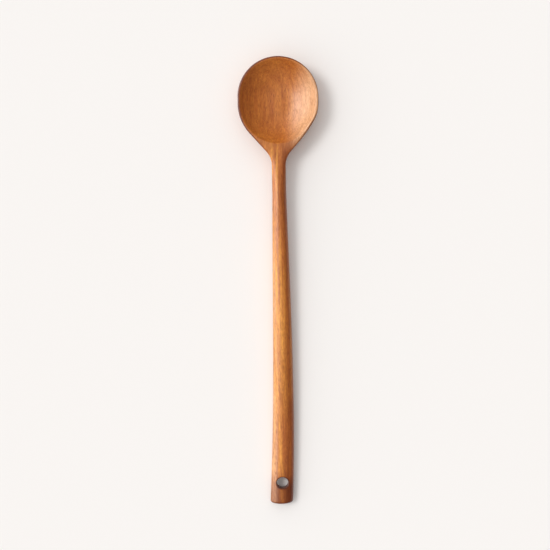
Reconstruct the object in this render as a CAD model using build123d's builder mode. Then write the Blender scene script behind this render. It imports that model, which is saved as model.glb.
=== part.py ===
from build123d import *
import os
from math import atan, cos, pi, radians, sin, sqrt, tan

# A wooden cooking spoon, with its bowl, neck and handle carved from one piece of hardwood,
# and a hole drilled through the handle to hang it by.
# Lengths are millimetres. The spoon lies on the table at Z 0, on the bowl's underside and the
# handle's end. +Y points from the handle to the front of the bowl, +X to the right, +Z up.

# Whole spoon
overall_length = 305
rest_flat_depth = 0.15

# Bowl, outside
bowl_width = 54.8
bowl_depth = 16
bowl_side_length = 4.3
shoulder_radius = 30
shoulder_angle = 42
rim_rounding = 0.7

# Bowl, hollow
hollow_depth = 12
rim_width = 1.5
hollow_side_length = 4.2
hollow_wall_lean = 38

# Neck and handle
neck_width = 9.6
neck_thickness = 10.5
neck_blend_radius = 14
neck_length = 20
handle_width = 15.6
handle_end_thickness = 8.6
handle_bow = 1.25
end_sway = 1.2
end_arc_radius = 45
end_rounding = 1.7

# Hanging hole
hole_diameter = 8
hole_inset = 14.6
hole_edge_chamfer = 0.4

# How far down its side a handle's section is widest, as a share of its thickness
edge_drop_share = 0.45

# How square the curves of a section are: how far each one's two handles reach towards the
# corner between its ends, over the top of the handle, elsewhere on it and under the bowl
round_top_share = 0.6
round_share = 0.55
bowl_round_share = 0.5

# How much the handle fills out ahead of an even taper
handle_swell_share = 0.5

# Round between the hollow's wall and its floor, as a share of the largest that they can hold
hollow_round_share = 0.8

# Cross-sections that shape each stretch of the outside
bowl_section_count = 4
neck_section_count = 5
handle_section_count = 9

# One overrun for every cut
overrun = 5

# Plan of the bowl and neck, measured back from the bowl's widest line
bowl_radius = bowl_width / 2
neck_half = neck_width / 2
lean = radians(shoulder_angle)
shoulder_end = bowl_side_length + shoulder_radius * sin(lean)
shoulder_end_half = bowl_radius - shoulder_radius * (1 - cos(lean))
blend_start_half = neck_half + neck_blend_radius * (1 - cos(lean))
blend_start = shoulder_end + (shoulder_end_half - blend_start_half) / tan(lean)
neck_start = blend_start + neck_blend_radius * sin(lean)
neck_middle = neck_start + neck_length / 2
neck_end = neck_start + neck_length
handle_end = overall_length - bowl_radius

# Plan of the hollow: the outside's curves set in by the rim, closed by one arc at the neck
hollow_front_radius = bowl_radius - rim_width
hollow_side_radius = shoulder_radius - rim_width
hollow_corner_half = bowl_radius - shoulder_radius + hollow_side_radius * cos(lean)
hollow_back_radius = hollow_corner_half / cos(lean)

# Depth of the hollow: the round reaches equally far along the wall and the floor
wall_lean = radians(hollow_wall_lean)
wall_length = hollow_depth / cos(wall_lean)
floor_half = hollow_front_radius - hollow_depth * tan(wall_lean)
hollow_round_reach = hollow_round_share * min(wall_length, floor_half)
hollow_floor_radius = hollow_round_reach / tan((pi / 2 - wall_lean) / 2)

# The spoon is drawn below a flat top plane, which tips until bowl and handle's end both touch,
# and lies with the middle of its whole length at the origin
rest_angle = atan((bowl_depth - handle_end_thickness) / (handle_end - end_rounding))
top_height = bowl_depth * cos(rest_angle) - rest_flat_depth
edges_below = (rim_rounding + end_rounding) / 2
top_middle = (handle_end - bowl_radius) / 2 * cos(rest_angle) - edges_below * sin(rest_angle)
top = Plane(
    origin=(0, top_middle, top_height),
    x_dir=(1, 0, 0),
    z_dir=(0, -sin(rest_angle), cos(rest_angle)),
)


def ease(start, end, place):
    """Rise smoothly from 0 at start to 1 at end."""
    share = min(max((place - start) / (end - start), 0), 1)
    return (1 - cos(pi * share)) / 2


def half_width(behind):
    """Half the spoon's width at a distance behind the bowl's widest line."""
    if behind <= bowl_side_length:
        return bowl_radius
    if behind <= shoulder_end:
        drop = sqrt(shoulder_radius**2 - (behind - bowl_side_length) ** 2)
        return bowl_radius - shoulder_radius + drop
    if behind <= blend_start:
        return shoulder_end_half - (behind - shoulder_end) * tan(lean)
    if behind <= neck_start:
        drop = sqrt(neck_blend_radius**2 - (neck_start - behind) ** 2)
        return neck_half + neck_blend_radius - drop
    share = max(behind - neck_end, 0) / (handle_end - neck_end)
    widening = share * (1 + handle_swell_share * (1 - share))
    return (neck_width + (handle_width - neck_width) * widening) / 2


def thickness(behind):
    """Depth of the spoon's underside below the top plane."""
    if behind <= neck_start:
        thinning = ease(bowl_side_length, neck_start, behind)
        return bowl_depth + (neck_thickness - bowl_depth) * thinning
    thinning = (behind - neck_start) / (handle_end - neck_start)
    return neck_thickness + (handle_end_thickness - neck_thickness) * thinning


def sway(behind):
    """Sideways drift of the hand-shaped handle: a slight bow, then over to the other side."""
    share = max(behind - neck_start, 0) / (handle_end - neck_start)
    bow_share = share**2 * (1 - share)
    greatest_bow_share = (2 / 3) ** 2 * (1 - 2 / 3)
    return handle_bow * bow_share / greatest_bow_share - end_sway * share**3


def section_plane(behind):
    """Plane across the spoon at a distance behind the bowl's widest line, seen from the handle's end."""
    return Plane(origin=top.from_local_coords((0, -behind, 0)), x_dir=top.x_dir, z_dir=-top.y_dir)


def half_section(middle, half, drop, depth, top_share, side_share, under_share, side):
    """Draw one side of a cross-section: over the top edge, then round below to the keel."""
    edge = middle + side * half
    Bezier(
        (middle, 0),
        (middle + side * half * top_share, 0),
        (edge, -drop * (1 - side_share)),
        (edge, -drop),
    )
    Bezier(
        (edge, -drop),
        (edge, -drop - (depth - drop) * under_share),
        (middle + side * half * under_share, -depth),
        (middle, -depth),
    )


def cross_section(behind):
    """The spoon's cross-section: flat with a thin rim at the bowl, rounded off on the handle."""
    half = half_width(behind)
    deep = thickness(behind)
    middle = sway(behind)
    handle_share = ease(shoulder_end, neck_end, behind)
    drop = rim_rounding + (edge_drop_share * deep - rim_rounding) * handle_share
    top_share = 1 + (round_top_share - 1) * handle_share
    side_share = 1 + (round_share - 1) * handle_share
    under_share = bowl_round_share + (round_share - bowl_round_share) * handle_share
    with BuildSketch(section_plane(behind)) as section:
        with BuildLine():
            for side in (1, -1):
                half_section(middle, half, drop, deep, top_share, side_share, under_share, side)
        make_face()
    return section.sketch


def even_sections(start, end, count):
    """Draw evenly spaced cross-sections over one stretch of the spoon."""
    return [cross_section(start + (end - start) * place / (count - 1)) for place in range(count)]


# Back of the bowl, shoulders, the blend to the neck, and the neck in two halves
curved_stretches = [
    (bowl_side_length, shoulder_end, bowl_section_count),
    (shoulder_end, blend_start, bowl_section_count),
    (blend_start, neck_start, neck_section_count),
    (neck_start, neck_middle, neck_section_count),
    (neck_middle, neck_end, neck_section_count),
]

with BuildPart() as hollow:
    # Plan of the hollow, drawn on the right and mirrored
    with BuildSketch(top) as hollow_plan:
        with BuildLine():
            front = JernArc((0, hollow_front_radius), (1, 0), hollow_front_radius, -90)
            flank = Line(front @ 1, (hollow_front_radius, -hollow_side_length))
            shoulder = JernArc(flank @ 1, flank % 1, hollow_side_radius, -shoulder_angle)
            JernArc(shoulder @ 1, shoulder % 1, hollow_back_radius, shoulder_angle - 90)
            mirror(about=Plane.YZ)
        make_face()
    # Walls lean in and run round into the floor
    extrude(amount=-hollow_depth, taper=hollow_wall_lean)
    floor_edges = hollow.faces().sort_by(Axis(top.origin, top.z_dir))[0].edges()
    fillet(floor_edges, hollow_floor_radius)
    extrude(hollow_plan.sketch, amount=overrun)

with BuildPart() as spoon:
    # Back of the bowl, shoulders and neck, each stretch lofted smoothly
    for start, end, count in curved_stretches:
        loft(sections=even_sections(start, end, count))

    # Handle, so nearly straight that ruled faces follow it
    loft(sections=even_sections(neck_end, handle_end + overrun, handle_section_count), ruled=True)

    # Widest part of the bowl, where its sides run straight
    extrude(cross_section(0), amount=bowl_side_length)

    # Front of the bowl, half a turn of its section about the bowl's middle
    with BuildSketch(section_plane(0)) as front_section:
        with BuildLine():
            half_section(0, bowl_radius, rim_rounding, bowl_depth, 1, 1, bowl_round_share, 1)
            Line((0, -bowl_depth), (0, 0))
        make_face()
    revolve(axis=Axis(top.origin, top.z_dir), revolution_arc=180)

    # Hollow, with a crisp inner edge as in the carved spoon
    add(hollow.part, mode=Mode.SUBTRACT)

    # Handle's end, cut to a shallow arc and rounded all round
    with BuildSketch(top) as end_plan:
        with Locations((sway(handle_end), -handle_end)):
            Rectangle(2 * handle_width, 2 * overrun)
        with Locations((sway(handle_end), end_arc_radius - handle_end)):
            Circle(end_arc_radius, mode=Mode.SUBTRACT)
    extrude(amount=2 * handle_end_thickness, both=True, mode=Mode.SUBTRACT)
    fillet(spoon.faces().sort_by(Axis.Y)[0].edges(), end_rounding)

    # Hanging hole in the middle of the handle, square to its top, with its mouths broken
    hole_behind = handle_end - hole_inset
    hole_middle = top.from_local_coords((sway(hole_behind), -hole_behind, 0))
    with Locations(Plane(origin=hole_middle, x_dir=top.x_dir, z_dir=top.z_dir)):
        Hole(hole_diameter / 2)
    hole_wall = spoon.faces(Select.LAST).filter_by(GeomType.CYLINDER)[0]
    chamfer(hole_wall.edges().filter_by(GeomType.LINE, reverse=True), hole_edge_chamfer)

    # Flats worn where the spoon lies on the table
    split(bisect_by=Plane.XY, keep=Keep.TOP)

spoon.part.label = "spoon"
os.makedirs("parts", exist_ok=True)
export_step(spoon.part, "parts/spoon.step")
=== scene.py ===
from math import atan, cos, exp, pi, radians, sin, sqrt, tan

import bmesh
import bpy
import numpy as np
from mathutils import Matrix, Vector, noise


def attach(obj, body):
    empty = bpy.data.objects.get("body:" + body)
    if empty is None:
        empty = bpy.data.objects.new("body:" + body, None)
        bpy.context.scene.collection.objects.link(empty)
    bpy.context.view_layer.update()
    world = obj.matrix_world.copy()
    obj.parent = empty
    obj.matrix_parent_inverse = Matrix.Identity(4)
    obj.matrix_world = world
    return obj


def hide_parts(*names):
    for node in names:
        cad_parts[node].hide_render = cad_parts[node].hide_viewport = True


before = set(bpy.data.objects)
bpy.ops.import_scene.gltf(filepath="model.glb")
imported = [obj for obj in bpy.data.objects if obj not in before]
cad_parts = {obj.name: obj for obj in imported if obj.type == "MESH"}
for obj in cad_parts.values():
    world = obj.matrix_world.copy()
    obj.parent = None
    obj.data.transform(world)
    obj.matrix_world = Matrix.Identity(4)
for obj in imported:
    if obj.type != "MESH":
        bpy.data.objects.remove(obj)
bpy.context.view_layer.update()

# Metres in a millimetre. Every length below is in millimetres unless its comment says otherwise
MM = 0.001

# The wooden spoon's sizes, as its solid has them
OVERALL_LENGTH = 305
REST_FLAT_DEPTH = 0.15
BOWL_WIDTH = 54.8
BOWL_DEPTH = 16
BOWL_SIDE_LENGTH = 4.3
SHOULDER_RADIUS = 30
LEAN = radians(42)
RIM_ROUNDING = 0.7
HOLLOW_DEPTH = 12
RIM_WIDTH = 1.5
HOLLOW_SIDE_LENGTH = 4.2
HOLLOW_WALL_LEAN = radians(38)
HOLLOW_ROUND_SHARE = 0.8
NECK_WIDTH = 9.6
NECK_THICKNESS = 10.5
NECK_BLEND_RADIUS = 14
NECK_LENGTH = 20
HANDLE_WIDTH = 15.6
HANDLE_END_THICKNESS = 8.6
HANDLE_BOW = 1.25
END_SWAY = 1.2
END_ARC_RADIUS = 45
END_ROUNDING = 1.7
HOLE_RADIUS = 4
HOLE_INSET = 14.6
ROUND_SHARE = 0.55
BOWL_ROUND_SHARE = 0.5
HANDLE_SWELL_SHARE = 0.5

# What the mesh shows beyond the solid: a handle that is rounder above and widest lower down,
# less so where it is narrower than the full half-width, and a rounded mouth of the hole
EDGE_DROP_SHARE = 0.52
FULL_DROP_HALF = 6.5
ROUND_TOP_SHARE = 0.5
HOLE_MOUTH_ROUNDING = 0.45

# The worn edge of the hollow, which gets crisper from start to end towards its back
EDGE_SOFTNESS = 0.6
CRISP_SPAN = (20, 30)
SOFTNESS_LOST_SHARE = 0.5

# The right shoulder, flattened round one place behind the bowl's widest line, and more outwards
SHOULDER_FLATNESS = 0.95
FLAT_MIDDLE = 20.6
FLAT_REACH = 6.5
FLAT_ACROSS = (8, 21)

# Unevenness left by sanding: width and length of its waves, their depth, and a shift between them
BROAD_WAVES = (9, 26)
BROAD_WAVE_DEPTH = 0.07
FINE_WAVES = (3.5, 11)
FINE_WAVE_DEPTH = 0.02
FINE_WAVE_SHIFT = 40

# Places along the spoon, measured back from the bowl's widest line
BOWL_RADIUS = BOWL_WIDTH / 2
NECK_HALF = NECK_WIDTH / 2
SHOULDER_END = BOWL_SIDE_LENGTH + SHOULDER_RADIUS * sin(LEAN)
SHOULDER_END_HALF = BOWL_RADIUS - SHOULDER_RADIUS * (1 - cos(LEAN))
BLEND_START_HALF = NECK_HALF + NECK_BLEND_RADIUS * (1 - cos(LEAN))
BLEND_START = SHOULDER_END + (SHOULDER_END_HALF - BLEND_START_HALF) / tan(LEAN)
NECK_START = BLEND_START + NECK_BLEND_RADIUS * sin(LEAN)
NECK_END = NECK_START + NECK_LENGTH
HANDLE_END = OVERALL_LENGTH - BOWL_RADIUS
HOLE_BEHIND = HANDLE_END - HOLE_INSET

# Plan of the hollow: front arc, straight side, side arc, and one back arc at the neck
HOLLOW_FRONT_RADIUS = BOWL_RADIUS - RIM_WIDTH
HOLLOW_SIDE_RADIUS = SHOULDER_RADIUS - RIM_WIDTH
HOLLOW_SIDE_MIDDLE = BOWL_RADIUS - SHOULDER_RADIUS
HOLLOW_BACK_RADIUS = (HOLLOW_SIDE_MIDDLE + HOLLOW_SIDE_RADIUS * cos(LEAN)) / cos(LEAN)
HOLLOW_BACK_MIDDLE = HOLLOW_SIDE_LENGTH + (HOLLOW_SIDE_RADIUS - HOLLOW_BACK_RADIUS) * sin(LEAN)

# Depth of the hollow: a straight wall, a round, and a flat floor
WALL_SLOPE = 1 / tan(HOLLOW_WALL_LEAN)
WALL_LENGTH = HOLLOW_DEPTH / cos(HOLLOW_WALL_LEAN)
FLOOR_HALF = HOLLOW_FRONT_RADIUS - HOLLOW_DEPTH * tan(HOLLOW_WALL_LEAN)
ROUND_REACH = HOLLOW_ROUND_SHARE * min(WALL_LENGTH, FLOOR_HALF)
HOLLOW_FLOOR_RADIUS = ROUND_REACH / tan((pi / 2 - HOLLOW_WALL_LEAN) / 2)
WALL_IN = HOLLOW_DEPTH * tan(HOLLOW_WALL_LEAN) - ROUND_REACH * sin(HOLLOW_WALL_LEAN)
FLOOR_IN = HOLLOW_DEPTH * tan(HOLLOW_WALL_LEAN) + ROUND_REACH

# The spoon lies tipped by this angle, with the middle of its whole length at the origin
REST_ANGLE = atan((BOWL_DEPTH - HANDLE_END_THICKNESS) / (HANDLE_END - END_ROUNDING))
TOP_HEIGHT = BOWL_DEPTH * cos(REST_ANGLE) - REST_FLAT_DEPTH
EDGES_BELOW = (RIM_ROUNDING + END_ROUNDING) / 2
TOP_MIDDLE = (HANDLE_END - BOWL_RADIUS) / 2 * cos(REST_ANGLE) - EDGES_BELOW * sin(REST_ANGLE)

# Steps of the mesh
FRONT_STEPS = 44
SIDE_STEPS = 5
SHOULDER_STEPS = 24
BACK_STEPS = 26
EDGE_REACH = 0.5
EDGE_RING_SHARES = (0.05, 0.16, 0.3, 0.48, 0.7, 1)
WALL_RING_SHARES = (1.6, 2.4)
HOLLOW_RINGS = 26
FLOOR_RING_SHARES = (0.75, 0.5, 0.25)
TOP_STEPS = 12
UNDER_STEPS = 30
HANDLE_STEP = 1.1
END_STEPS = 8
HOLE_PATCH = 6.2
HOLE_PATCH_STEPS = 14
HOLE_RINGS = 6
MOUTH_STEPS = 5
BORE_STEPS = 8
BISECTIONS = 45
SHORTEST_EDGE = 0.001
WELD_REACH = 0.002

# Mark of darker wood, which holds painted shade and wear. Its dark line below the rim, painted shade
# where it gains
# on the right shoulder: its breadth in the middle of the front, what it gains to the left in front and on
# the right shoulder, and how far inwards it stays at its darkest
SHADE_AND_WEAR_NAME = "shade_and_wear"
RIM_LINE = 1.4
RIM_LINE_GAIN_LEFT = 0.7
RIM_SHADE_GAIN_SHOULDER = 0.6
SHOULDER_SHADE_SPAN = (8, 22)
RIM_LINE_FULL_SHARE = 0.35
RIM_LINE_HEIGHTS = (-1.8, -0.9)

# Wear of the handle's last stretch and darkening of its very end: how much, and between which distances
# from the end, and painted shade in the hole and round its mouths: how far out, with more to the right
# and back, the side away from the light
END_WEAR = 0.72
END_WEAR_START = 26
END_WEAR_FULL = 9
TIP_DARKENING = 0.3
TIP_DARKENING_START = 2.4
TIP_DARKENING_FULL = 0.4
HOLE_SHADE_FULL = 0.3
HOLE_SHADE_REACH = 1.5
HOLE_SHADE_LEE = 0.5

# Colours of the wood, as linear red, green and blue
WOOD_RED = (0.50, 0.145, 0.022, 1)
WOOD_GOLD = (0.76, 0.30, 0.042, 1)
# Pale colour that paints the sheen of the light, on the bowl's right wall and the handle's left side
PAINTED_SHEEN_COLOUR = (0.80, 0.47, 0.26, 1)
WOOD_BROAD = (0.93, 0.88, 0.82, 1)

# Rings of the log that the spoon was cut from, and the share of a ring in which it darkens
RING_SPACING = 4.3
RING_MIDDLE_X = -38
RING_MIDDLE_Z = -70
RING_WANDER = 8
RING_TILT = 0.06
LATE_WOOD = (0.35, 0.96)

# Noises of the wood: width across the grain, length along it, detail and shift
RING_BEND = (22, 70, 1.0, 0.0)
FIBRES = (0.45, 11, 3.0, 0.0)
STREAKS = (1.9, 46, 2.0, 7.0)
FLECKS = (0.85, 2.9, 1.5, 19.0)
MOTTLES = (4.5, 7.5, 2.0, 31.0)
BROAD_PATCHES = (15, 70, 1.0, 43.0)
PORES = (0.38, 3.4, 0.0, 57.0)
BANDS = (1.5, 24, 1.0, 71.0)
FIBRE_NOISE_ROUGHNESS = 0.6
NOISE_MIDDLE = 0.5
NOISE_RANGE = (0.25, 0.75)
FIBRE_RANGE = (0.3, 0.7)
BROAD_RANGE = (0.35, 0.65)
PORE_RANGE = (0.66, 0.76)
WHOLE_RANGE = (0.0, 1.0)

# Strength of the grain in the bowl, and what the handle adds to it
BOWL_FIGURE = 0.4
HANDLE_FIGURE_ADDED = 1.1
GRAIN_STRENGTH = 0.5
STREAK_STRENGTH = 2.6
STREAK_SWAY = 7.0

# Where the colour changes, from start to end: along is the frame's Y and across its X.
# The handle turns into the bowl, gold fades out forwards and at the handle's end, and the
# handle's right side is red and darker, partly red wood and partly painted shade
HANDLE_TO_BOWL_ALONG = (84.0, 98.0)
GOLD_ALONG = (0.0, 55.0)
GOLD_SHARES = (0.82, 0.13)
END_RED_ALONG = (-124.0, -70.0)
END_GOLD_LOSS = 0.75
RED_AND_SHADED_SIDE_ACROSS = (-0.5, 5.5)
RED_AND_SHADED_SIDE_GOLD_LOSS = 0.6

# Painted sheen, as pale colour on the upper side at the bowl's right, which reaches further across
# towards the neck, with only a trace of it on the outside, and along the handle's left side
PAINTED_SHEEN_ACROSS = (5.0, 22.0)
PAINTED_SHEEN_SHARE = 0.85
PAINTED_SHEEN_LEAN_ALONG = 118.0
PAINTED_SHEEN_LEAN = 0.16
PAINTED_SHEEN_FACING_UP = (0.0, 0.45)
PAINTED_SHEEN_TRACE = 0.15
LEFT_PAINTED_SHEEN_ACROSS = (-6.5, -2.0)
LEFT_PAINTED_SHEEN_SHARE = 0.55
LEFT_PAINTED_SHEEN_ALONG = (40.0, 75.0)

# Darker neck, and a darker left wall of the bowl, partly darker wood and partly painted shade
NECK_DARK_START_ALONG = (15.0, 45.0)
NECK_DARK_END_ALONG = (76.0, 92.0)
LEFT_DARK_AND_SHADE_ACROSS = (-24.0, -8.0)

# Brightness of each mark at its weakest and at its strongest, and the powers that deepen
# red, green and blue as the wood darkens
FLECK_TONES = (0.82, 1.18)
MOTTLE_TONES = (0.94, 1.06)
RING_TONES = (1.02, 0.93)
PORE_TONES = (1.0, 0.68)
RED_AND_SHADED_SIDE_TONES = (1.0, 0.60)
NECK_TONES = (1.0, 0.92)
LEFT_DARK_AND_SHADE_TONES = (1.0, 0.85)
SHADE_AND_WEAR_TONES = (1.0, 0.27)
TONE_POWERS = (0.85, 1.2, 1.5)

# Oiled surface
WOOD_SPECULAR = 0.6
WOOD_ROUGHNESS = (0.35, 0.42)
PORE_ROUGHNESS = 0.15
FIBRE_RELIEF = 0.35
BUMP_STRENGTH = 0.5
BUMP_DEPTH = 0.04

# Floor, with its reach in metres
FLOOR_REACH = 30
FLOOR_COLOUR = (0.9, 0.87, 0.845, 1)
FLOOR_ROUGHNESS = 0.9

# Light: the lamp's place and breadth in degrees and its strength, the sky that rises towards
# one direction, the sheen that glossy rays see in its place, and the background in the picture
KEY_HEIGHT = 53
KEY_AROUND = 16
KEY_SPREAD = 22
KEY_STRENGTH = 1.05
SKY_FACING = (-0.74, 0.20, 0.64)
SKY_START = -0.3
SKY_LOW = 0.32
SKY_HIGH = 1.46
SHEEN_FACING = (-0.90, 0.31, 0.30)
SHEEN_START = 0.62
SHEEN_LOW = 0.08
SHEEN_HIGH = 6.5
BACKGROUND_COLOUR = (0.9, 0.88, 0.86, 1)

# Camera, in metres, its roll in degrees, and its sensor in the camera's own millimetres
CAMERA_DISTANCE = 0.6916
CAMERA_WIDTH_SEEN = 0.3804
CAMERA_ROLL = -0.80
CAMERA_AIM = (-0.00366, 0.00443, 0)
SENSOR_WIDTH = 36
CLIP_START = 0.01
CLIP_END = 100

# Sockets of the mix node that take and give colours
MIX_FACTOR = 0
MIX_FIRST = 6
MIX_SECOND = 7
MIX_RESULT = 2


def ease(start, end, place):
    """Rise smoothly from 0 at start to 1 at end."""
    share = min(max((place - start) / (end - start), 0), 1)
    return (1 - cos(pi * share)) / 2


def bezier(t, start, first, second, end):
    """A number that runs from start to end, drawn to the two between them."""
    return (1 - t) ** 3 * start + 3 * (1 - t) ** 2 * t * first + 3 * (1 - t) * t**2 * second + t**3 * end


def half_width(behind):
    """Half the spoon's width at a distance behind the bowl's widest line."""
    if behind <= BOWL_SIDE_LENGTH:
        return BOWL_RADIUS
    if behind <= SHOULDER_END:
        drop = sqrt(SHOULDER_RADIUS**2 - (behind - BOWL_SIDE_LENGTH) ** 2)
        return BOWL_RADIUS - SHOULDER_RADIUS + drop
    if behind <= BLEND_START:
        return SHOULDER_END_HALF - (behind - SHOULDER_END) * tan(LEAN)
    if behind <= NECK_START:
        drop = sqrt(NECK_BLEND_RADIUS**2 - (NECK_START - behind) ** 2)
        return NECK_HALF + NECK_BLEND_RADIUS - drop
    share = max(behind - NECK_END, 0) / (HANDLE_END - NECK_END)
    widening = share * (1 + HANDLE_SWELL_SHARE * (1 - share))
    return (NECK_WIDTH + (HANDLE_WIDTH - NECK_WIDTH) * widening) / 2


def thickness(behind):
    """Depth of the spoon's underside below the top plane."""
    if behind <= NECK_START:
        thinning = ease(BOWL_SIDE_LENGTH, NECK_START, behind)
        return BOWL_DEPTH + (NECK_THICKNESS - BOWL_DEPTH) * thinning
    thinning = (behind - NECK_START) / (HANDLE_END - NECK_START)
    return NECK_THICKNESS + (HANDLE_END_THICKNESS - NECK_THICKNESS) * thinning


def sway(behind):
    """Sideways drift of the hand-shaped handle."""
    share = max(behind - NECK_START, 0) / (HANDLE_END - NECK_START)
    greatest_bow_share = (2 / 3) ** 2 * (1 - 2 / 3)
    return HANDLE_BOW * share**2 * (1 - share) / greatest_bow_share - END_SWAY * share**3


class Section:
    """The spoon's cross-section at one distance behind the bowl's widest line."""

    def __init__(self, behind):
        inside = max(behind, 0)
        self.half = half_width(inside)
        self.deep = thickness(inside)
        handle_share = ease(SHOULDER_END, NECK_END, inside)
        edge_drop = EDGE_DROP_SHARE * self.deep * min(self.half / FULL_DROP_HALF, 1)
        self.drop = RIM_ROUNDING + (edge_drop - RIM_ROUNDING) * handle_share
        self.top_share = 1 + (ROUND_TOP_SHARE - 1) * handle_share
        self.side_share = 1 + (ROUND_SHARE - 1) * handle_share
        self.under_share = BOWL_ROUND_SHARE + (ROUND_SHARE - BOWL_ROUND_SHARE) * handle_share

    def over(self, t):
        """Place across and height, from the middle of the top at 0 to the widest line at 1."""
        across = bezier(t, 0, self.top_share, 1, 1)
        down = bezier(t, 0, 0, 1 - self.side_share, 1)
        return self.half * across, -self.drop * down

    def under(self, t):
        """Place across and height, from the widest line at 0 to the middle of the underside at 1."""
        across = bezier(t, 1, 1, self.under_share, 0)
        below_edge = self.drop + (self.deep - self.drop) * self.under_share
        down = bezier(t, self.drop, below_edge, self.deep, self.deep)
        return self.half * across, -down

    def find(self, curve, across):
        """The curve's parameter at a place across, by bisection."""
        low, high = 0.0, 1.0
        rising = curve(1.0)[0] > curve(0.0)[0]
        for _ in range(BISECTIONS):
            middle = (low + high) / 2
            if (curve(middle)[0] < across) == rising:
                low = middle
            else:
                high = middle
        return (low + high) / 2

    def height(self, curve, across):
        """Height of the curve at a place across, on either side."""
        return curve(self.find(curve, min(abs(across), self.half)))[1]


def reach_out(across, behind):
    """Distance from the bowl's middle in front of its widest line, and from the middle line behind it."""
    return sqrt(across**2 + behind**2) if behind < 0 else abs(across)


def hollow_depth(inside):
    """Depth of the hollow at a distance inside its edge, and above the rim outside the edge."""
    if inside <= WALL_IN:
        return inside * WALL_SLOPE
    if inside <= FLOOR_IN:
        drop = sqrt(HOLLOW_FLOOR_RADIUS**2 - (FLOOR_IN - inside) ** 2)
        return HOLLOW_DEPTH - HOLLOW_FLOOR_RADIUS + drop
    return HOLLOW_DEPTH


def carved_height(across, behind, inside):
    """Height of the bowl's upper side, where rim and hollow meet in a slightly softened edge."""
    section = Section(behind)
    rim = -section.height(section.over, reach_out(across, behind))
    hollow = hollow_depth(inside)
    softness = EDGE_SOFTNESS * (1 - SOFTNESS_LOST_SHARE * ease(*CRISP_SPAN, behind))
    rounded_off = max(softness - abs(rim - hollow), 0) ** 2 / (4 * softness)
    return -(max(rim, hollow) + rounded_off)


def placed(across, behind, height):
    """A point of the spoon in the frame, in metres, laid on the table."""
    along = TOP_MIDDLE - behind * cos(REST_ANGLE) - height * sin(REST_ANGLE)
    up = TOP_HEIGHT - behind * sin(REST_ANGLE) + height * cos(REST_ANGLE)
    return Vector((across * MM, along * MM, max(up, 0) * MM))


def unplaced(point):
    """Place across, behind and height of a point of the frame."""
    across, along, up = point / MM
    along -= TOP_MIDDLE
    up -= TOP_HEIGHT
    behind = -along * cos(REST_ANGLE) - up * sin(REST_ANGLE)
    return across, behind, up * cos(REST_ANGLE) - along * sin(REST_ANGLE)


class Skin:
    """Collects rows of points and joins them into one mesh."""

    def __init__(self):
        self.mesh = bmesh.new()

    def row(self, points):
        return [self.mesh.verts.new(placed(*point)) for point in points]

    def face(self, corners):
        """Add a face without those corners that lie on the one before."""
        kept = [
            corner
            for k, corner in enumerate(corners)
            if (corner.co - corners[k - 1].co).length > SHORTEST_EDGE * MM
        ]
        if len(kept) > 2:
            self.mesh.faces.new(kept)

    def strip(self, first, second, closed=False):
        """Join two rows of as many points with a strip of faces."""
        count = len(first)
        for k in range(count if closed else count - 1):
            after = (k + 1) % count
            self.face([first[k], first[after], second[after], second[k]])


def hollow_edge():
    """Stations round the right half of the hollow's edge: arc middle across and behind, radius, angle."""
    edge = []
    for k in range(FRONT_STEPS):
        edge.append((0, 0, HOLLOW_FRONT_RADIUS, -pi / 2 * (1 - k / FRONT_STEPS)))
    for k in range(SIDE_STEPS):
        edge.append((0, HOLLOW_SIDE_LENGTH * k / SIDE_STEPS, HOLLOW_FRONT_RADIUS, 0))
    for k in range(SHOULDER_STEPS):
        turn = LEAN * k / SHOULDER_STEPS
        edge.append((HOLLOW_SIDE_MIDDLE, HOLLOW_SIDE_LENGTH, HOLLOW_SIDE_RADIUS, turn))
    for k in range(BACK_STEPS + 1):
        turn = LEAN + (pi / 2 - LEAN) * k / BACK_STEPS
        edge.append((0, HOLLOW_BACK_MIDDLE, HOLLOW_BACK_RADIUS, turn))
    return edge


def inside_edge(station, inside):
    """Place across and behind at a distance inside the hollow's edge."""
    middle_across, middle_behind, radius, turn = station
    out = radius - inside
    return middle_across + out * cos(turn), middle_behind + out * sin(turn)


def make_hollow(skin, edge):
    """The hollow, in rings that follow its edge, with a floor that closes on its middle."""
    near_edge = [-EDGE_REACH * share for share in reversed(EDGE_RING_SHARES)]
    past_edge = [EDGE_REACH * share for share in EDGE_RING_SHARES + WALL_RING_SHARES]
    rest = np.linspace(past_edge[-1], FLOOR_IN, HOLLOW_RINGS)[1:]
    rows = []
    for inside in near_edge + past_edge + list(rest):
        row = []
        for station in edge:
            across, behind = inside_edge(station, inside)
            row.append((across, behind, carved_height(across, behind, inside)))
        rows.append(row)
    floor_edge = rows[-1]
    floor_middle = (HOLLOW_BACK_MIDDLE + HOLLOW_BACK_RADIUS - HOLLOW_FRONT_RADIUS) / 2
    for share in FLOOR_RING_SHARES:
        row = []
        for across, behind, height in floor_edge:
            row.append((across * share, floor_middle + (behind - floor_middle) * share, height))
        rows.append(row)
    middle = skin.row([(0, floor_middle, -HOLLOW_DEPTH)])[0]
    loops = []
    for row in rows:
        mirrored = [(-across, behind, height) for across, behind, height in row[-2:0:-1]]
        loops.append(skin.row(row + mirrored))
    for first, second in zip(loops, loops[1:]):
        skin.strip(first, second, closed=True)
    last = loops[-1]
    for k, vertex in enumerate(last):
        skin.face([vertex, last[(k + 1) % len(last)], middle])


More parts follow.
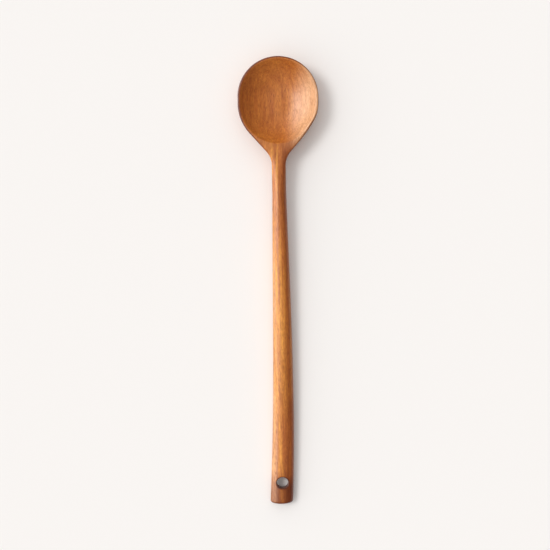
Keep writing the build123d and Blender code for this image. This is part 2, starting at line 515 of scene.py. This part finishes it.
def outside_stations(edge):
    """Where the outer skin's half-sections run: where each starts across, how far behind, and its angle.

    Those round the hollow's edge have the edge's angle, and those of the handle have none.
    """
    stations = [(*inside_edge(station, -EDGE_REACH), station[3]) for station in edge]
    start = stations[-1][1]
    before_hole = HOLE_BEHIND - HOLE_PATCH
    after_hole = HOLE_BEHIND + HOLE_PATCH
    round_start = HANDLE_END - END_ROUNDING
    before_steps = int((before_hole - start) / HANDLE_STEP)
    after_steps = int((round_start - after_hole) / HANDLE_STEP)
    places = list(np.linspace(start, before_hole, before_steps))[1:]
    places += list(np.linspace(before_hole, after_hole, HOLE_PATCH_STEPS + 1))[1:]
    places += list(np.linspace(after_hole, round_start, after_steps + 1))[1:]
    places += [round_start + END_ROUNDING * sin(pi / 2 * k / END_STEPS) for k in range(1, END_STEPS + 1)]
    return stations + [(0, behind, None) for behind in places]


def end_inset(behind):
    """How far the section draws in where the handle's end rounds over."""
    past = max(behind - (HANDLE_END - END_ROUNDING), 0)
    return END_ROUNDING - sqrt(max(END_ROUNDING**2 - past**2, 0))


def drawn_in(points, inset):
    """A half-section moved inwards, square to its own line."""
    if inset == 0:
        return points
    across = np.array([point[0] for point in points])
    height = np.array([point[1] for point in points])
    step_across = np.gradient(across)
    step_height = np.gradient(height)
    step_height[0] = step_height[-1] = 0
    length = np.hypot(step_across, step_height)
    return list(zip(across + inset * step_height / length, height - inset * step_across / length))


def arced(across, behind):
    """The handle's end, bent to its shallow arc."""
    recede = END_ARC_RADIUS - sqrt(END_ARC_RADIUS**2 - across**2)
    return behind - recede * ease(HOLE_BEHIND + HOLE_PATCH, HANDLE_END, behind)


def half_section(start_across, behind):
    """Points of one half of the outer skin, from the top's start to the middle of the underside."""
    section = Section(behind)
    first = section.find(section.over, start_across) if start_across > 0 else 0.0
    over = [section.over(t) for t in np.linspace(first, 1, TOP_STEPS + 1)]
    under = [section.under(t) for t in np.linspace(0, 1, UNDER_STEPS + 1)[1:]]
    return drawn_in(over + under, end_inset(behind))


def outside_row(station, side):
    """One half-section of the outer skin, turned about the bowl's middle in front, swayed behind."""
    start, behind, turn = station
    if behind < 0:
        points = half_section(HOLLOW_FRONT_RADIUS + EDGE_REACH, behind)
        return [(side * out * cos(turn), out * sin(turn), height) for out, height in points]
    middle = sway(behind)
    points = half_section(start, behind)
    return [(middle + side * out, arced(out, behind), height) for out, height in points]


def patch_edge(rows, in_patch, columns):
    """The patch's edge on one side, from its near end on the middle round to its far end."""
    near = [rows[in_patch[0]][j] for j in columns]
    side = [rows[k][columns[-1]] for k in in_patch[1:-1]]
    far = [rows[in_patch[-1]][j] for j in reversed(columns)]
    return near + side + far


def make_outside(skin, edge):
    """The outer skin, as half-sections on the right and left, with a patch left for the hole."""
    stations = outside_stations(edge)
    patch_reach = HOLE_PATCH + HANDLE_STEP / 2
    in_patch = [
        k
        for k, (start, behind, turn) in enumerate(stations)
        if turn is None and abs(behind - HOLE_BEHIND) < patch_reach
    ]
    at_hole = half_section(0, HOLE_BEHIND)
    top_columns = sum(out < HOLE_PATCH for out, height in at_hole[: TOP_STEPS + 1])
    under_columns = sum(out < HOLE_PATCH for out, height in at_hole[TOP_STEPS + 1 :])
    rims = {}
    for side in (1, -1):
        rows = [skin.row(outside_row(station, side)) for station in stations]
        last = len(rows[0]) - 1
        for k in range(len(rows) - 1):
            hole_row = k in in_patch and k + 1 in in_patch
            for j in range(last):
                if hole_row and (j < top_columns or j >= last - under_columns):
                    continue
                skin.face([rows[k][j], rows[k][j + 1], rows[k + 1][j + 1], rows[k + 1][j]])
        rims[side] = {
            "top": patch_edge(rows, in_patch, range(0, top_columns + 1)),
            "under": patch_edge(rows, in_patch, range(last, last - under_columns - 1, -1)),
            "end": rows[-1],
        }
    return rims


def surface_height(across, behind, top):
    """Height of the handle's top or underside at a place on it."""
    section = Section(behind)
    return section.height(section.over if top else section.under, across - sway(behind))


def turn_round_hole(across, behind):
    """Angle of a place round the hole's axis."""
    return np.arctan2(behind - HOLE_BEHIND, across - sway(HOLE_BEHIND))


def round_hole(radius, turn):
    """Place across and behind at an angle round the hole."""
    return sway(HOLE_BEHIND) + radius * cos(turn), HOLE_BEHIND + radius * sin(turn)


def make_mouth(skin, loop, top):
    """Rings from the patch's edge to the hole, and over its rounded mouth into the bore."""
    edge = [unplaced(vertex.co) for vertex in loop]
    turns = [turn_round_hole(across, behind) for across, behind, height in edge]
    rings = [loop]
    for ring in range(1, HOLE_RINGS + 1):
        share = ring / HOLE_RINGS
        row = []
        for (across, behind, height), turn in zip(edge, turns):
            mouth_across, mouth_behind = round_hole(HOLE_RADIUS + HOLE_MOUTH_ROUNDING, turn)
            ring_across = across + (mouth_across - across) * share
            ring_behind = behind + (mouth_behind - behind) * share
            row.append((ring_across, ring_behind, surface_height(ring_across, ring_behind, top)))
        rings.append(skin.row(row))
    inward = -1 if top else 1
    heights = [height for across, behind, height in row]
    for step in range(1, MOUTH_STEPS + 1):
        bend = pi / 2 * step / MOUTH_STEPS
        radius = HOLE_RADIUS + HOLE_MOUTH_ROUNDING * (1 - sin(bend))
        fall = inward * HOLE_MOUTH_ROUNDING * (1 - cos(bend))
        row = [(*round_hole(radius, turn), height + fall) for turn, height in zip(turns, heights)]
        rings.append(skin.row(row))
    for first, second in zip(rings, rings[1:]):
        skin.strip(first, second, closed=True)
    return turns, row, rings[-1]


def make_hole(skin, rims):
    """The hanging hole: its two mouths, and the bore between them."""
    mouths = []
    for name in ("top", "under"):
        right, left = rims[1][name], rims[-1][name]
        mouths.append(make_mouth(skin, right + left[-2:0:-1], name == "top"))
    (turns, top_row, previous), (under_turns, under_row, under_ring) = mouths
    order = np.argsort(under_turns)
    under_angles = np.array(under_turns)[order]
    under_heights = np.array([under_row[k][2] for k in order])
    for step in range(1, BORE_STEPS):
        share = step / BORE_STEPS
        row = []
        for turn, (across, behind, height) in zip(turns, top_row):
            low = np.interp(turn, under_angles, under_heights, period=2 * pi)
            row.append((across, behind, height + (low - height) * share))
        ring = skin.row(row)
        skin.strip(previous, ring, closed=True)
        previous = ring
    bridge(skin, previous, under_ring)


def bridge(skin, first, second):
    """Join two rings of the bore that have different numbers of points."""
    rings = []
    for ring in (first, second):
        turned = [(turn_round_hole(*unplaced(vertex.co)[:2]), vertex) for vertex in ring]
        turned.sort(key=lambda pair: pair[0])
        turned.append((turned[0][0] + 2 * pi, turned[0][1]))
        rings.append(turned)
    one, two = rings
    i = j = 0
    while i < len(one) - 1 or j < len(two) - 1:
        two_is_done = j == len(two) - 1
        if two_is_done or (i < len(one) - 1 and one[i + 1][0] <= two[j + 1][0]):
            skin.face([one[i][1], one[i + 1][1], two[j][1]])
            i += 1
        else:
            skin.face([one[i][1], two[j + 1][1], two[j][1]])
            j += 1


def wave(place, size, shift=0):
    """Slow noise from 0 to 1, with waves of the given width and length."""
    width, length = size
    return (1 + noise.noise(Vector((place.x / width + shift, place.y / length, place.z / width)))) / 2


def undulate(mesh):
    """Cut the surface back by the unevenness of sanding, and flatten the right shoulder."""
    normals = [Vector(vertex.normal) for vertex in mesh.vertices]
    for vertex, normal in zip(mesh.vertices, normals):
        place = vertex.co / MM
        depth = BROAD_WAVE_DEPTH * wave(place, BROAD_WAVES)
        depth += FINE_WAVE_DEPTH * wave(place, FINE_WAVES, FINE_WAVE_SHIFT)
        vertex.co = vertex.co - normal * depth * MM
        across, behind, height = unplaced(vertex.co)
        flat = SHOULDER_FLATNESS * exp(-(((behind - FLAT_MIDDLE) / FLAT_REACH) ** 2))
        vertex.co.x -= flat * ease(*FLAT_ACROSS, across) * MM
        vertex.co.z = max(vertex.co.z, 0)


def rim_line_and_shade(across, behind, height):
    """A dark line below the bowl's rim, broadest on the left in front and on the right shoulder, where it
    is painted shade.
    """
    inside = half_width(max(behind, 0)) - reach_out(across, behind)
    side = across / BOWL_RADIUS
    on_shoulder = ease(*SHOULDER_SHADE_SPAN, behind)
    breadth = RIM_LINE - RIM_LINE_GAIN_LEFT * side * (1 - on_shoulder)
    # The gain on the right shoulder is painted shade of the outer wall
    breadth += RIM_SHADE_GAIN_SHOULDER * max(side, 0) * on_shoulder
    line = 1 - ease(RIM_LINE_FULL_SHARE * breadth, breadth, inside)
    return line * ease(*RIM_LINE_HEIGHTS, height) * (1 - ease(SHOULDER_END, NECK_START, behind))


def end_wear_and_darkening(behind):
    """Wear of the handle's last stretch, and darkening of its very end."""
    stretch = ease(HANDLE_END - END_WEAR_START, HANDLE_END - END_WEAR_FULL, behind)
    tip = ease(HANDLE_END - TIP_DARKENING_START, HANDLE_END - TIP_DARKENING_FULL, behind)
    return END_WEAR * stretch + TIP_DARKENING * tip


def hole_shade(across, behind):
    """Painted shade in the hole and round its mouths, more to the right and back, the side away from the
    light.
    """
    right = across - sway(HOLE_BEHIND)
    back = behind - HOLE_BEHIND
    from_hole = sqrt(right**2 + back**2)
    # More painted shade to the right and back, away from the light
    lee = (right + back) / max(from_hole, HOLE_RADIUS)
    outer = HOLE_RADIUS + HOLE_SHADE_REACH + HOLE_SHADE_LEE * lee
    return 1 - ease(HOLE_RADIUS + HOLE_SHADE_FULL, outer, from_hole)


def mark_shade_and_wear(mesh):
    """Mark where the wood is darkened: a line below the rim that is painted shade on the right shoulder,
    wear of the handle's last stretch, a darker very end, and painted shade in the hole and round it.
    """
    marks = mesh.attributes.new(SHADE_AND_WEAR_NAME, "FLOAT", "POINT")
    for vertex, mark in zip(mesh.vertices, marks.data):
        across, behind, height = unplaced(vertex.co)
        mark.value = max(rim_line_and_shade(across, behind, height), end_wear_and_darkening(behind), hole_shade(across, behind))


def make_spoon():
    """The whole spoon as one closed mesh."""
    skin = Skin()
    edge = hollow_edge()
    make_hollow(skin, edge)
    rims = make_outside(skin, edge)
    make_hole(skin, rims)
    # Small flat face inside the rounded end of the handle
    skin.strip(rims[1]["end"], rims[-1]["end"])
    bmesh.ops.remove_doubles(skin.mesh, verts=skin.mesh.verts, dist=WELD_REACH * MM)
    bmesh.ops.recalc_face_normals(skin.mesh, faces=skin.mesh.faces)
    mesh = bpy.data.meshes.new("carved_spoon")
    skin.mesh.to_mesh(mesh)
    skin.mesh.free()
    mesh.shade_smooth()
    mark_shade_and_wear(mesh)
    undulate(mesh)
    spoon = bpy.data.objects.new("carved_spoon", mesh)
    bpy.context.scene.collection.objects.link(spoon)
    return spoon


class Nodes:
    """Short calls for building a node tree."""

    def __init__(self, tree):
        self.tree = tree

    def add(self, kind, **settings):
        node = self.tree.nodes.new(kind)
        for name, value in settings.items():
            setattr(node, name, value)
        return node

    def put(self, socket, value):
        """Link a socket, or set a plain value."""
        if isinstance(value, bpy.types.NodeSocket):
            self.tree.links.new(value, socket)
        else:
            socket.default_value = value

    def math(self, operation, first, second=0.0):
        node = self.add("ShaderNodeMath", operation=operation)
        self.put(node.inputs[0], first)
        self.put(node.inputs[1], second)
        return node.outputs[0]

    def plus(self, first, second):
        return self.math("ADD", first, second)

    def minus(self, first, second):
        return self.math("SUBTRACT", first, second)

    def times(self, first, second):
        return self.math("MULTIPLY", first, second)

    def vector(self, operation, first, second=(0.0, 0.0, 0.0), result="Vector"):
        node = self.add("ShaderNodeVectorMath", operation=operation)
        self.put(node.inputs[0], first)
        self.put(node.inputs[1], second)
        return node.outputs[result]

    def split(self, vector):
        """The three parts of a vector."""
        node = self.add("ShaderNodeSeparateXYZ")
        self.put(node.inputs[0], vector)
        return node.outputs

    def span(self, value, low, high, start=0.0, end=1.0, smooth=True):
        """Carry a value from low..high to start..end, held at both ends."""
        node = self.add("ShaderNodeMapRange", interpolation_type="SMOOTHSTEP" if smooth else "LINEAR")
        self.put(node.inputs["Value"], value)
        for name, number in (("From Min", low), ("From Max", high), ("To Min", start), ("To Max", end)):
            self.put(node.inputs[name], number)
        return node.outputs["Result"]

    def mix(self, share, first, second, blend="MIX"):
        node = self.add("ShaderNodeMix", data_type="RGBA", blend_type=blend)
        self.put(node.inputs[MIX_FACTOR], share)
        self.put(node.inputs[MIX_FIRST], first)
        self.put(node.inputs[MIX_SECOND], second)
        return node.outputs[MIX_RESULT]


class Wood(Nodes):
    """Oiled reddish-brown hardwood, with its grain along the spoon."""

    def __init__(self, tree):
        super().__init__(tree)
        coordinates = self.add("ShaderNodeTexCoord")
        self.place = self.vector("DIVIDE", coordinates.outputs["Object"], (MM, MM, MM))
        self.across, self.along = self.split(self.place)[:2]
        self.facing_up = self.split(coordinates.outputs["Normal"])["Z"]
        self.fibre = self.noise(*FIBRES, roughness=FIBRE_NOISE_ROUGHNESS)
        self.pore = self.span(self.noise(*PORES), *PORE_RANGE)
        self.wavering = self.minus(self.noise(*STREAKS), NOISE_MIDDLE)
        self.beside = self.plus(self.across, self.times(self.wavering, STREAK_SWAY))
        self.in_handle = self.span(self.along, *HANDLE_TO_BOWL_ALONG, 1.0, 0.0)
        self.in_bowl = self.minus(1.0, self.in_handle)
        # The handle's right side, redder and darker: partly red wood, partly painted shade
        self.on_red_and_shaded_side = self.times(self.span(self.beside, *RED_AND_SHADED_SIDE_ACROSS), self.in_handle)
        self.figure = self.plus(self.times(self.in_handle, HANDLE_FIGURE_ADDED), BOWL_FIGURE)

    def noise(self, width, length, detail, shift, roughness=0.5):
        """Noise with features of the given size, about 0.5 on average."""
        size = self.vector("DIVIDE", self.place, (width, length, width))
        node = self.add("ShaderNodeTexNoise")
        self.put(node.inputs["Vector"], self.vector("ADD", size, (shift, shift, shift)))
        self.put(node.inputs["Scale"], 1.0)
        self.put(node.inputs["Detail"], detail)
        self.put(node.inputs["Roughness"], roughness)
        return node.outputs[0]

    def rings(self):
        """Growth rings, round a log whose middle lies below and to the left."""
        bend = self.times(self.minus(self.noise(*RING_BEND), NOISE_MIDDLE), RING_WANDER)
        apart = self.vector("SUBTRACT", self.place, (RING_MIDDLE_X, 0, RING_MIDDLE_Z))
        flat = self.vector("MULTIPLY", apart, (1, RING_TILT, 1))
        depth = self.plus(self.vector("LENGTH", flat, result="Value"), bend)
        ring = self.math("FRACT", self.math("DIVIDE", depth, RING_SPACING))
        late = self.span(ring, *LATE_WOOD)
        return self.times(late, self.span(ring, LATE_WOOD[1], 1.0, 1.0, 0.0))

    def golden(self):
        """Share of gold in the red: most in the handle's middle and left, less on its right side, which
        is partly painted shade, and uneven in streaks.
        """
        share = self.span(self.along, *GOLD_ALONG, *GOLD_SHARES)
        share = self.minus(share, self.span(self.along, *END_RED_ALONG, END_GOLD_LOSS, 0.0))
        share = self.plus(share, self.times(self.wavering, self.times(self.figure, STREAK_STRENGTH)))
        share = self.minus(share, self.times(self.on_red_and_shaded_side, RED_AND_SHADED_SIDE_GOLD_LOSS))
        clamped = self.add("ShaderNodeClamp")
        self.put(clamped.inputs["Value"], share)
        return clamped.outputs[0]

    def pale(self):
        """Share of painted sheen, as pale colour: on the upper side at the bowl's right, and on the
        handle's left.
        """
        leaning = self.times(self.minus(PAINTED_SHEEN_LEAN_ALONG, self.along), PAINTED_SHEEN_LEAN)
        right = self.span(self.plus(self.across, leaning), *PAINTED_SHEEN_ACROSS, 0.0, PAINTED_SHEEN_SHARE)
        right = self.times(self.in_bowl, right)
        right = self.times(right, self.span(self.facing_up, *PAINTED_SHEEN_FACING_UP, PAINTED_SHEEN_TRACE, 1.0))
        left = self.span(self.beside, *LEFT_PAINTED_SHEEN_ACROSS, LEFT_PAINTED_SHEEN_SHARE, 0.0)
        left = self.times(left, self.span(self.along, *LEFT_PAINTED_SHEEN_ALONG, 1.0, 0.0))
        return self.plus(right, left)

    def hue(self):
        """Colour of the wood before its marks, with painted sheen."""
        base = self.mix(self.golden(), WOOD_RED, WOOD_GOLD)
        # Pale colour that paints sheen
        base = self.mix(self.pale(), base, PAINTED_SHEEN_COLOUR)
        return self.mix(self.span(self.noise(*BROAD_PATCHES), *BROAD_RANGE), base, WOOD_BROAD, "MULTIPLY")

    def shade(self):
        """Brightness of the wood's marks, painted shade among them, as a colour that deepens as it
        darkens.
        """
        level = 1.0
        for grain in (self.fibre, self.noise(*BANDS)):
            strength = self.times(self.figure, GRAIN_STRENGTH)
            level = self.plus(self.times(self.minus(grain, NOISE_MIDDLE), strength), level)
        neck_start = self.span(self.along, *NECK_DARK_START_ALONG)
        at_neck = self.times(neck_start, self.span(self.along, *NECK_DARK_END_ALONG, 1.0, 0.0))
        # The bowl's left wall, darker: partly darker wood, partly painted shade of a wall that faces away
        # from the light
        at_dark_and_shaded_left = self.times(self.span(self.across, *LEFT_DARK_AND_SHADE_ACROSS, 1.0, 0.0), self.in_bowl)
        # Mark that holds painted shade in the hole and on the rim's right shoulder, and wear of the
        # handle's end
        shade_and_wear = self.add("ShaderNodeAttribute", attribute_name=SHADE_AND_WEAR_NAME)
        marks = (
            (self.noise(*FLECKS), NOISE_RANGE, FLECK_TONES, False),
            (self.noise(*MOTTLES), NOISE_RANGE, MOTTLE_TONES, False),
            (self.rings(), WHOLE_RANGE, RING_TONES, True),
            (self.pore, WHOLE_RANGE, PORE_TONES, True),
            (self.on_red_and_shaded_side, WHOLE_RANGE, RED_AND_SHADED_SIDE_TONES, False),
            (at_neck, WHOLE_RANGE, NECK_TONES, True),
            (at_dark_and_shaded_left, WHOLE_RANGE, LEFT_DARK_AND_SHADE_TONES, True),
            (shade_and_wear.outputs["Fac"], WHOLE_RANGE, SHADE_AND_WEAR_TONES, False),
        )
        for mark, mark_range, tones, smooth in marks:
            level = self.times(level, self.span(mark, *mark_range, *tones, smooth=smooth))
        colour = self.add("ShaderNodeCombineXYZ")
        for socket, power in zip(colour.inputs, TONE_POWERS):
            self.put(socket, self.math("POWER", level, power))
        return colour.outputs[0]


def wood_material():
    """Oiled hardwood: its colour, the gloss of its fibres and pores, and their fine relief."""
    material = bpy.data.materials.new("oiled_hardwood")
    material.use_nodes = True
    wood = Wood(material.node_tree)
    shader = wood.tree.nodes["Principled BSDF"]
    wood.put(shader.inputs["Base Color"], wood.mix(1.0, wood.hue(), wood.shade(), "MULTIPLY"))
    rough = wood.span(wood.fibre, *FIBRE_RANGE, *WOOD_ROUGHNESS)
    wood.put(shader.inputs["Roughness"], wood.plus(rough, wood.times(wood.pore, PORE_ROUGHNESS)))
    bump = wood.add("ShaderNodeBump")
    wood.put(bump.inputs["Height"], wood.minus(wood.times(wood.fibre, FIBRE_RELIEF), wood.pore))
    wood.put(bump.inputs["Strength"], BUMP_STRENGTH)
    wood.put(bump.inputs["Distance"], BUMP_DEPTH * MM)
    wood.put(shader.inputs["Normal"], bump.outputs[0])
    wood.put(shader.inputs["Specular IOR Level"], WOOD_SPECULAR)
    return material


def make_floor():
    """A pale floor, far wider than any view."""
    mesh = bpy.data.meshes.new("floor")
    corners = [(x * FLOOR_REACH, y * FLOOR_REACH, 0) for x, y in ((-1, -1), (1, -1), (1, 1), (-1, 1))]
    mesh.from_pydata(corners, [], [(0, 1, 2, 3)])
    floor = bpy.data.objects.new("floor", mesh)
    bpy.context.scene.collection.objects.link(floor)
    material = bpy.data.materials.new("pale_floor")
    material.use_nodes = True
    shader = material.node_tree.nodes["Principled BSDF"]
    shader.inputs["Base Color"].default_value = FLOOR_COLOUR
    shader.inputs["Roughness"].default_value = FLOOR_ROUGHNESS
    shader.inputs["Specular IOR Level"].default_value = 0
    mesh.materials.append(material)


def make_lamp():
    """A broad sun from the left."""
    height, around = radians(KEY_HEIGHT), radians(KEY_AROUND)
    to_light = Vector((-cos(around) * cos(height), sin(around) * cos(height), sin(height)))
    lamp = bpy.data.lights.new("key", "SUN")
    lamp.energy = KEY_STRENGTH
    lamp.angle = radians(KEY_SPREAD)
    key = bpy.data.objects.new("key", lamp)
    key.rotation_euler = to_light.to_track_quat("Z", "Y").to_euler()
    bpy.context.scene.collection.objects.link(key)


def make_world():
    """A sky that is bright on the upper left, a low sheen for glossy rays and a pale background."""
    world = bpy.data.worlds.new("studio")
    bpy.context.scene.world = world
    world.use_nodes = True
    world.node_tree.nodes.clear()
    nodes = Nodes(world.node_tree)
    output = nodes.add("ShaderNodeOutputWorld")
    coordinates = nodes.add("ShaderNodeTexCoord")
    ray = nodes.add("ShaderNodeLightPath")

    def lobe(facing, start, low, high):
        """A background that rises smoothly towards one direction."""
        direction = Vector(facing).normalized()
        towards = nodes.vector("DOT_PRODUCT", coordinates.outputs["Generated"], direction, result="Value")
        light = nodes.add("ShaderNodeBackground")
        nodes.put(light.inputs["Strength"], nodes.span(towards, start, 1.0, low, high))
        return light.outputs[0]

    def choose(ray_kind, usual, chosen):
        """One background for most rays, and another for one kind."""
        mixed = nodes.add("ShaderNodeMixShader")
        for socket, value in zip(mixed.inputs, (ray.outputs[ray_kind], usual, chosen)):
            nodes.put(socket, value)
        return mixed.outputs[0]

    background = nodes.add("ShaderNodeBackground")
    nodes.put(background.inputs["Color"], BACKGROUND_COLOUR)
    sky = lobe(SKY_FACING, SKY_START, SKY_LOW, SKY_HIGH)
    sheen = lobe(SHEEN_FACING, SHEEN_START, SHEEN_LOW, SHEEN_HIGH)
    lit = choose("Is Glossy Ray", sky, sheen)
    nodes.put(output.inputs["Surface"], choose("Is Camera Ray", lit, background.outputs[0]))


def make_camera():
    """Straight down, rolled so that the handle leans as it does in the photograph."""
    data = bpy.data.cameras.new("camera")
    data.sensor_width = SENSOR_WIDTH
    data.sensor_height = SENSOR_WIDTH
    data.lens = SENSOR_WIDTH * CAMERA_DISTANCE / CAMERA_WIDTH_SEEN
    data.clip_start = CLIP_START
    data.clip_end = CLIP_END
    camera = bpy.data.objects.new("camera", data)
    camera.location = Vector(CAMERA_AIM) + Vector((0, 0, CAMERA_DISTANCE))
    camera.rotation_euler = (0, 0, radians(CAMERA_ROLL))
    bpy.context.scene.collection.objects.link(camera)
    bpy.context.scene.camera = camera


make_camera()
make_lamp()
make_world()
make_floor()
spoon = make_spoon()
spoon.data.materials.append(wood_material())
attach(spoon, "root")
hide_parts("spoon")

bpy.context.scene.view_settings.view_transform = "Standard"
